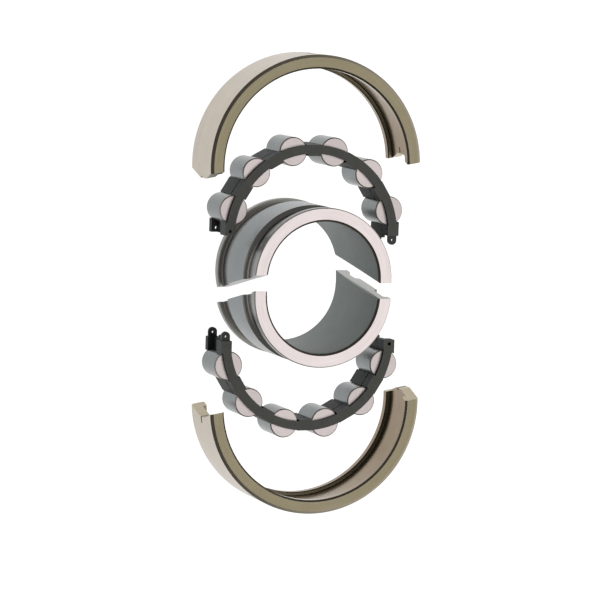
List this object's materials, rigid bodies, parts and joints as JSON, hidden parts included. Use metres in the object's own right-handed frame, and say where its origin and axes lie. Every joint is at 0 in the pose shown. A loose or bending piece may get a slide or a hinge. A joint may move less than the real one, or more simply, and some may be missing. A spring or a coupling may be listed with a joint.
{
  "type": "split cylindrical roller bearing",
  "caption": "Split roller bearing with its race and cage halves moved apart: plain outer race, clamped inner race and caged cylindrical rollers.",
  "frame": {"origin": "centre of the closed bearing, on the shaft axis at mid-width; the lower inner race half is concentric with it at rest", "axes": "+Z along the bearing axis towards the front faces, +Y the way the upper halves lift off, +X to the right"},
  "size_m": [0.0981, 0.1971, 0.052],
  "materials": {
    "outer_race": "ground, straw-toned",
    "inner_race": "ground",
    "roller": "fine ground",
    "cage": "black oxide, satin",
    "cage_clip": "black oxide, satin"
  },
  "bodies": {
    "inner_race_lower": {"inner_race_lower": "inner_race"},
    "inner_race_upper": {"inner_race_upper": "inner_race"},
    "outer_race_upper": {"outer_race_upper": "outer_race"},
    "outer_race_lower": {"outer_race_lower": "outer_race"},
    "cage_upper": {"cage_upper": "cage", "cage_clip_upper_front": "cage_clip", "cage_clip_upper_rear": "cage_clip"},
    "cage_lower": {"cage_lower": "cage", "cage_clip_lower_front": "cage_clip", "cage_clip_lower_rear": "cage_clip"},
    "roller_01": {"roller_01": "roller"},
    "roller_02": {"roller_02": "roller"},
    "roller_03": {"roller_03": "roller"},
    "roller_04": {"roller_04": "roller"},
    "roller_05": {"roller_05": "roller"},
    "roller_06": {"roller_06": "roller"},
    "roller_07": {"roller_07": "roller"},
    "roller_08": {"roller_08": "roller"},
    "roller_09": {"roller_09": "roller"},
    "roller_10": {"roller_10": "roller"},
    "roller_11": {"roller_11": "roller"},
    "roller_12": {"roller_12": "roller"}
  },
  "joints": [
    {"name": "outer_upper_slide", "type": "slide", "parent": "inner_race_lower", "child": "outer_race_upper", "axis": [0, -1, 0], "range_m": [0, 0.0537]},
    {"name": "outer_lower_slide", "type": "slide", "parent": "inner_race_lower", "child": "outer_race_lower", "axis": [-0.0639, 0.998, 0], "range_m": [0, 0.0485]},
    {"name": "cage_upper_slide", "type": "slide", "parent": "inner_race_lower", "child": "cage_upper", "axis": [0, -1, 0], "range_m": [0, 0.0238]},
    {"name": "cage_lower_slide", "type": "slide", "parent": "inner_race_lower", "child": "cage_lower", "axis": [0, 1, 0], "range_m": [0, 0.0211]},
    {"name": "inner_upper_slide", "type": "slide", "parent": "inner_race_lower", "child": "inner_race_upper", "axis": [0, -1, 0], "range_m": [0, 0.0063]},
    {"name": "roller_01_spin", "type": "hinge", "parent": "cage_upper", "child": "roller_01", "pos_m": [0.03538, 0.03462, 0], "axis": [0, 0, 1], "continuous": true},
    {"name": "roller_02_spin", "type": "hinge", "parent": "cage_upper", "child": "roller_02", "pos_m": [0.02561, 0.05051, 0], "axis": [0, 0, 1], "continuous": true},
    {"name": "roller_03_spin", "type": "hinge", "parent": "cage_upper", "child": "roller_03", "pos_m": [0.00933, 0.05961, 0], "axis": [0, 0, 1], "continuous": true},
    {"name": "roller_04_spin", "type": "hinge", "parent": "cage_upper", "child": "roller_04", "pos_m": [-0.00933, 0.05961, 0], "axis": [0, 0, 1], "continuous": true},
    {"name": "roller_05_spin", "type": "hinge", "parent": "cage_upper", "child": "roller_05", "pos_m": [-0.02561, 0.05051, 0], "axis": [0, 0, 1], "continuous": true},
    {"name": "roller_06_spin", "type": "hinge", "parent": "cage_upper", "child": "roller_06", "pos_m": [-0.03538, 0.03462, 0], "axis": [0, 0, 1], "continuous": true},
    {"name": "roller_07_spin", "type": "hinge", "parent": "cage_lower", "child": "roller_07", "pos_m": [-0.03538, -0.03192, 0], "axis": [0, 0, 1], "continuous": true},
    {"name": "roller_08_spin", "type": "hinge", "parent": "cage_lower", "child": "roller_08", "pos_m": [-0.02561, -0.04781, 0], "axis": [0, 0, 1], "continuous": true},
    {"name": "roller_09_spin", "type": "hinge", "parent": "cage_lower", "child": "roller_09", "pos_m": [-0.00933, -0.05691, 0], "axis": [0, 0, 1], "continuous": true},
    {"name": "roller_10_spin", "type": "hinge", "parent": "cage_lower", "child": "roller_10", "pos_m": [0.00933, -0.05691, 0], "axis": [0, 0, 1], "continuous": true},
    {"name": "roller_11_spin", "type": "hinge", "parent": "cage_lower", "child": "roller_11", "pos_m": [0.02561, -0.04781, 0], "axis": [0, 0, 1], "continuous": true},
    {"name": "roller_12_spin", "type": "hinge", "parent": "cage_lower", "child": "roller_12", "pos_m": [0.03538, -0.03192, 0], "axis": [0, 0, 1], "continuous": true}
  ],
  "couplings": [
    {"joint": "outer_lower_slide", "follows": "outer_upper_slide", "ratio": 0.90315},
    {"joint": "cage_upper_slide", "follows": "outer_upper_slide", "ratio": 0.4432},
    {"joint": "cage_lower_slide", "follows": "outer_upper_slide", "ratio": 0.39292},
    {"joint": "inner_upper_slide", "follows": "outer_upper_slide", "ratio": 0.11732},
    {"joint": "roller_02_spin", "follows": "roller_01_spin", "ratio": 1},
    {"joint": "roller_03_spin", "follows": "roller_01_spin", "ratio": 1},
    {"joint": "roller_04_spin", "follows": "roller_01_spin", "ratio": 1},
    {"joint": "roller_05_spin", "follows": "roller_01_spin", "ratio": 1},
    {"joint": "roller_06_spin", "follows": "roller_01_spin", "ratio": 1},
    {"joint": "roller_07_spin", "follows": "roller_01_spin", "ratio": 1},
    {"joint": "roller_08_spin", "follows": "roller_01_spin", "ratio": 1},
    {"joint": "roller_09_spin", "follows": "roller_01_spin", "ratio": 1},
    {"joint": "roller_10_spin", "follows": "roller_01_spin", "ratio": 1},
    {"joint": "roller_11_spin", "follows": "roller_01_spin", "ratio": 1},
    {"joint": "roller_12_spin", "follows": "roller_01_spin", "ratio": 1}
  ]
}
